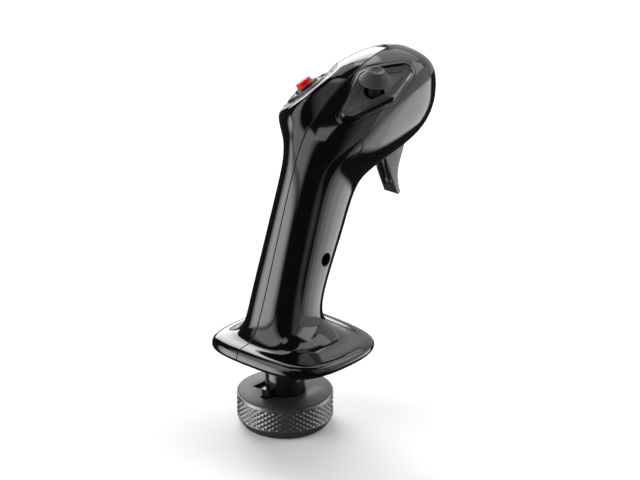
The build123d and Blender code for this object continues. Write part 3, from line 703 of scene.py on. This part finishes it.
def stick_panel(tree):
    """Raised kite-shaped panel: skirt in the groove, glossy flanks, stepped ridges and a flat floor."""
    down = -PANEL_FRAME.to_3x3().col[2]

    def draped(grow, lift):
        loop = []
        for u, v in panel_outline(grow):
            start = PANEL_FRAME @ (Vector((u, v, 8.0)) * MM)
            hit = tree.ray_cast(start, down)[0]
            w = (PANEL_FRAME.inverted() @ hit).z / MM if hit else -1.0
            loop.append((u, v, w + lift))
        return loop

    def flat(grow, w):
        return [(u, v, w) for u, v in panel_outline(grow)]

    skirt = [draped(PANEL_RIM, -2.2), draped(PANEL_RIM, -0.22), draped(PANEL_RIM - 0.06, -0.06),
             draped(PANEL_RIM - 0.22, 0.0), draped(1.4, 0.0), draped(0.95, 0.0)]
    foot = draped(0.72, 0.06)
    crest = flat(0.24, -0.42)
    flank = []
    for share in (0.0, 0.25, 0.5, 0.75, 1.0):
        flank.append([tuple(a + (b - a) * share for a, b in zip(p, q)) for p, q in zip(foot, crest)])
    lip = [flat(0.12, -0.16), flat(-0.02, -0.03), flat(-0.16, 0.0), flat(-0.3, -0.04), flat(-0.4, -0.2),
           flat(-0.44, -0.5)]
    ridges = []
    level_w = 0.0
    for start in RIDGE_STARTS:
        ridges += [flat(start - inward, level_w - drop) for inward, drop in RIDGE_PROFILE]
        level_w -= RIDGE_STEP
    floor_w = level_w - RIDGE_FOOT
    floor_edge = [flat(FLOOR_EDGE + 0.1, floor_w), flat(FLOOR_EDGE, floor_w)]
    stick_axis = (PANEL_FRAME.inverted() @ STICK_FRAME).col[2]

    def hole(w):
        """The stick's hole follows the stick's own axis, which leans over from the panel's."""
        drop = (w - CAP_GAP) / stick_axis.z
        middle = Vector((STICK_UV[0] + stick_axis.x * drop, STICK_UV[1] + stick_axis.y * drop))
        loop = []
        for u, v in panel_outline(FLOOR_EDGE):
            away = (Vector((u, v)) - middle).normalized() * STICK_HOLE_R
            loop.append((middle.x + away.x, middle.y + away.y, w))
        return loop

    near = [hole(w) for w in (floor_w, floor_w - 0.15, PANEL_BACK)]
    under = [flat(-2.0, PANEL_BACK)]
    loops = skirt + flank + lip + ridges + floor_edge + near + under
    obj = loops_piece("stick_panel_body", loops, MATERIALS["shell"], MATERIALS["panel"],
                      transform=PANEL_FRAME, sharp=28.0)
    glossy_faces = len(skirt + flank + lip) * len(foot)
    for polygon in obj.data.polygons:
        polygon.material_index = 0 if polygon.index < glossy_faces else 1
    return settle(obj, "grip", "panel", "stick_panel")


def mini_stick_cap():
    """Rubber cone with fine rings cut into its flank and a dished top."""
    profile = [(0, 0.5), (3.3, 0.5), (CAP_BASE_R - 1.5, 0.9), (CAP_BASE_R - 0.8, 0.1),
               (CAP_BASE_R - 0.45, 0.0), (CAP_BASE_R - 0.12, 0.12), (CAP_BASE_R, 0.4), (CAP_BASE_R, 0.75)]
    for i in range(CAP_RINGS):
        ring_marks = ((i, 0.0), (i + 0.5, 0.0), (i + 0.6, CAP_RING_DEPTH), (i + 0.92, CAP_RING_DEPTH))
        for share, inset in [(mark / CAP_RINGS, depth) for mark, depth in ring_marks]:
            radius = CAP_BASE_R - 0.06 + (CAP_TOP_R + 0.25 - CAP_BASE_R) * share - inset
            profile.append((radius, 0.85 + (CAP_HEIGHT - 1.25) * share))
    profile += [(CAP_TOP_R + 0.2, CAP_HEIGHT - 0.32), (CAP_TOP_R + 0.05, CAP_HEIGHT - 0.08),
                (CAP_TOP_R - 0.25, CAP_HEIGHT), (CAP_TOP_R - 0.6, CAP_HEIGHT - 0.05)]
    for i in range(1, 8):
        radius = (CAP_TOP_R - 0.6) * (1.0 - i / 8.0)
        depth = CAP_DISH_DEPTH * (1.0 - (radius / (CAP_TOP_R - 0.6)) ** 2)
        profile.append((radius, CAP_HEIGHT - 0.05 - depth))
    profile.append((0, CAP_HEIGHT - 0.05 - CAP_DISH_DEPTH))
    obj = turned("mini_stick_rubber", profile, MATERIALS["stick_rubber"], 144, STICK_FRAME, 60.0)
    return settle(obj, "stick_cap", "stick_rubber", "mini_stick_cap")


# ---------------------------------------------------------------- thumb button

def button_bezel():
    profile = [(6.1, -2.3), (BEZEL_R, -2.3), (BEZEL_R, -0.5), (BEZEL_R - 0.12, -0.2), (BEZEL_R - 0.4, -0.03),
               (BEZEL_R - 0.8, 0.02), (12.0, 0.12), (11.55, 0.3), (11.3, 0.75), (11.15, 0.93), (10.95, 1.0),
               (10.75, 0.9), (10.6, 0.5), (10.5, -0.9), (8.35, -0.9), (8.3, 0.6), (8.15, 0.85), (7.9, 0.95),
               (6.5, 0.95), (6.1, 0.8)]
    obj = turned("button_bezel_ring", profile, MATERIALS["bezel"], 160, BUTTON_FRAME, 40.0)
    settle(obj, "grip", "bezel", "button_bezel")
    for index in range(BEZEL_BRIDGES):
        turn = BUTTON_FRAME @ Matrix.Rotation(math.radians(45 + 90 * index), 4, "Z")
        outline = [(8.1, -1.1), (10.7, -1.25), (10.7, 1.25), (8.1, 1.1)]
        loops = [[(u, v, w) for u, v in outline] for w in (-0.95, 0.72)]
        bridge = loops_piece(f"bezel_bridge_{index + 1}", loops, MATERIALS["bezel"], closed_tube=False,
                             transform=turn)
        soften(bridge, 0.22, 3)
        settle(bridge, "grip", "bezel")


def button_collar():
    profile = [(BUTTON_CAP_R + 0.25, -3.9), (8.3, -3.9), (8.3, -2.5), (5.95, -2.5), (5.95, 1.9), (5.87, 2.2),
               (5.65, 2.42), (5.35, 2.5), (4.6, 2.5), (4.38, 2.42), (BUTTON_CAP_R + 0.25, 2.2)]
    obj = turned("button_collar_ring", profile, MATERIALS["black_plastic"], 128, BUTTON_FRAME, 50.0)
    settle(obj, "grip", "black_plastic", "button_collar")


def red_button_cap():
    r = BUTTON_CAP_R
    profile = [(0, -3.1), (1.5, -3.1), (1.5, -1.0), (r, -1.0), (r, 4.15), (r - 0.08, 4.42), (r - 0.28, 4.62),
               (r - 0.6, 4.74), (2.6, 4.84), (1.6, 4.88), (0.8, 4.9), (0, 4.9)]
    obj = turned("red_button_dome", profile, MATERIALS["red_plastic"], 96, BUTTON_FRAME, 45.0)
    settle(obj, "red_button", "red_plastic", "red_button_cap")


# ---------------------------------------------------------------- coupling nut

def knurl_height(angle, height):
    """Height of the diamond knurl, 0 in its grooves and 1 on top of its diamonds."""
    turns = KNURL_COUNT * angle / (2 * math.pi)
    rise = KNURL_ROWS * height / 2.0
    first = abs(((turns + rise) % 1.0) - 0.5) * 2.0
    second = abs(((turns - rise) % 1.0) - 0.5) * 2.0
    groove = min(1.0 - first, 1.0 - second)
    return min(groove / KNURL_SLOPE, 1.0)


def coupling_nut():
    columns = KNURL_COUNT * 16
    rows = KNURL_ROWS * 12
    inner = [(THREAD_R, 9.0), (THREAD_R, 0.5), (THREAD_R + 0.5, 0.0)]
    lip = [(NUT_FOOT_R - 0.3, 0.0), (NUT_FOOT_R, 0.15), (NUT_FOOT_R + 1.9, 2.9), (NUT_R - 0.25, 3.7),
           (NUT_R - 0.06, 4.1), (NUT_R, 4.4)]
    loops = [ring(r, z, columns) for r, z in inner + lip]
    for i in range(rows + 1):
        share = i / rows
        z = KNURL_LOW_Z + (KNURL_HIGH_Z - KNURL_LOW_Z) * share
        fade = smooth_step(min(share, 1.0 - share) / 0.02)
        loop = []
        for j in range(columns):
            angle = 2 * math.pi * j / columns
            radius = NUT_R - KNURL_DEPTH * fade * (1.0 - knurl_height(angle, share * 2.0))
            loop.append((radius * math.cos(angle), radius * math.sin(angle), z))
        loops.append(loop)
    top = [(NUT_R, KNURL_HIGH_Z + 0.15), (NUT_R, NUT_TOP_Z - 0.35), (NUT_R - 0.08, NUT_TOP_Z - 0.12),
           (NUT_R - 0.28, NUT_TOP_Z), (RIM_BORE_R + 0.08, NUT_TOP_Z), (RIM_BORE_R, NUT_TOP_Z - 0.08),
           (RIM_BORE_R, 13.9), (17.2, 13.9), (17.2, 12.9), (19.5, 12.9), (19.5, 9.0)]
    loops += [ring(r, z, columns) for r, z in top]
    obj = loops_piece("coupling_nut_knurled", loops, MATERIALS["anodised"], sharp=30.0)
    settle(obj, "coupling_ring", "anodised", "coupling_nut")


# ---------------------------------------------------------------- stage

def build_camera():
    target = Vector(CAMERA_TARGET) * MM
    back = Vector(CAMERA_BACK).normalized()
    data = bpy.data.cameras.new("camera")
    data.lens = CAMERA_LENS
    data.sensor_width = 36.0
    data.clip_start = 0.01
    camera = bpy.data.objects.new("camera", data)
    camera.location = target + back * CAMERA_DISTANCE
    camera.rotation_euler = (-back).to_track_quat("-Z", "Y").to_euler()
    bpy.context.scene.collection.objects.link(camera)
    bpy.context.scene.camera = camera


def softbox(name, azimuth, elevation, radiance, fade, seen_in_gloss):
    """Flat lamps that face the grip and fill a range of azimuths and elevations, in degrees.

    fade is how many degrees the light takes to reach its full strength from its low and high azimuth.
    """
    layers = FADE_LAYERS if any(fade) else 1
    for layer in range(layers):
        share = layer / layers
        inset = FADE_INSET * share
        lamp(f"{name}_{layer}", (azimuth[0] + fade[0] * share, azimuth[1] - fade[1] * share),
             (elevation[0] + inset, elevation[1] - inset), radiance / layers, seen_in_gloss)


def lamp(name, azimuth, elevation, radiance, seen_in_gloss):
    az = math.radians(sum(azimuth) / 2)
    el = math.radians(sum(elevation) / 2)
    width = 2 * LAMP_REACH * math.tan(math.radians(azimuth[1] - azimuth[0]) / 2) * math.cos(el)
    height = 2 * LAMP_REACH * math.tan(math.radians(elevation[1] - elevation[0]) / 2)
    outward = Vector((math.cos(az) * math.cos(el), math.sin(az) * math.cos(el), math.sin(el)))
    data = bpy.data.lights.new(name, "AREA")
    data.shape = "RECTANGLE"
    data.size, data.size_y = width, height
    data.energy = radiance * math.pi * width * height
    light = bpy.data.objects.new(name, data)
    light.location = Vector(LAMP_MIDDLE) + outward * LAMP_REACH
    light.rotation_euler = (-outward).to_track_quat("-Z", "Y").to_euler()
    light.visible_camera = False
    light.visible_glossy = seen_in_gloss
    bpy.context.scene.collection.objects.link(light)


def build_stage():
    material, _, _, shader = node_material("floor_white")
    shader.inputs["Base Color"].default_value = (0.9, 0.9, 0.9, 1.0)
    shader.inputs["Roughness"].default_value = 0.9
    shader.inputs["Specular IOR Level"].default_value = 0.1
    corners = [(x * FLOOR_REACH, y * FLOOR_REACH, 0) for x, y in ((-1, -1), (1, -1), (1, 1), (-1, 1))]
    floor = piece("floor", corners, [(0, 1, 2, 3)], material, in_metres=True)
    floor.visible_glossy = False
    world = bpy.data.worlds.new("studio")
    world.use_nodes = True
    background = world.node_tree.nodes["Background"]
    background.inputs["Color"].default_value = (1.0, 1.0, 1.0, 1.0)
    background.inputs["Strength"].default_value = ROOM_STRENGTH
    bpy.context.scene.world = world
    bpy.context.scene.view_settings.view_transform = "Standard"
    for row in SOFTBOXES:
        softbox(*row)


# ---------------------------------------------------------------- build

def build():
    build_camera()
    build_stage()
    dress_cad_nodes()
    right_normal, right_tree = skin_lookup(-1)
    left_normal, _ = skin_lookup(1)
    half_shell(-1, right_normal)
    half_shell(1, left_normal)
    stick_panel(right_tree)
    mini_stick_cap()
    button_bezel()
    button_collar()
    red_button_cap()
    coupling_nut()
    # The key plate's top takes the darker anodised copy, which is painted shade.
    plate = rounded_copy("key_plate", "key_plate_disc", 0.2, MATERIALS["anodised_top"], 2)
    settle(plate, "coupling_slider", "anodised", "key_plate")
    trigger = rounded_copy("trigger", "trigger_blade", 0.7, MATERIALS["trigger_plastic"])
    settle(trigger, "trigger_lever", "trigger_plastic", "trigger")


build()
